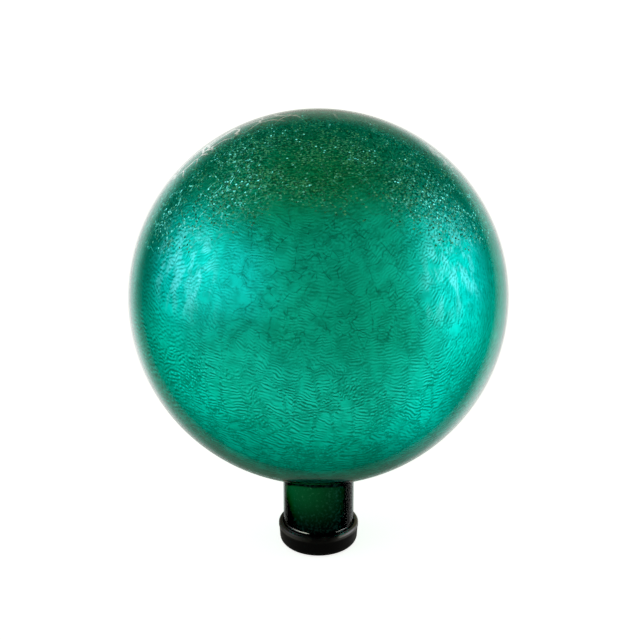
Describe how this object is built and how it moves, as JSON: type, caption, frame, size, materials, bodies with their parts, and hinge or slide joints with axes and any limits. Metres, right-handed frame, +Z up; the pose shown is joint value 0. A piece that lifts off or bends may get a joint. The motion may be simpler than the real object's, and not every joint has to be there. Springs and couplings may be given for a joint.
{
  "type": "garden gazing ball",
  "caption": "Emerald crackle-glass globe with a clear glossy casing, silvered inside, on a short dark neck closed by a black rubber cap.",
  "frame": {"origin": "centre of the cap's flat base, on the surface that the ball stands on", "axes": "+Z up along the axis of the neck and globe; X and Y are level and alike, because the ball is round"},
  "size_m": [0.254, 0.254, 0.3119],
  "materials": {
    "clear_glass": "clear, fire-polished",
    "emerald_glass": "crackled, tinted emerald, bright from the silver behind it",
    "silvering": "bright mirror film",
    "cap_rubber": "moulded, satin black"
  },
  "bodies": {
    "cap": {"neck_cap": "cap_rubber"},
    "globe": {"outer_glass": "clear_glass", "crackle_glass": "emerald_glass", "silver_lining": "silvering"}
  },
  "joints": [
    {"name": "globe_lift", "type": "slide", "parent": "cap", "child": "globe", "axis": [0, 0, 1], "range_m": [0, 0.03]}
  ]
}
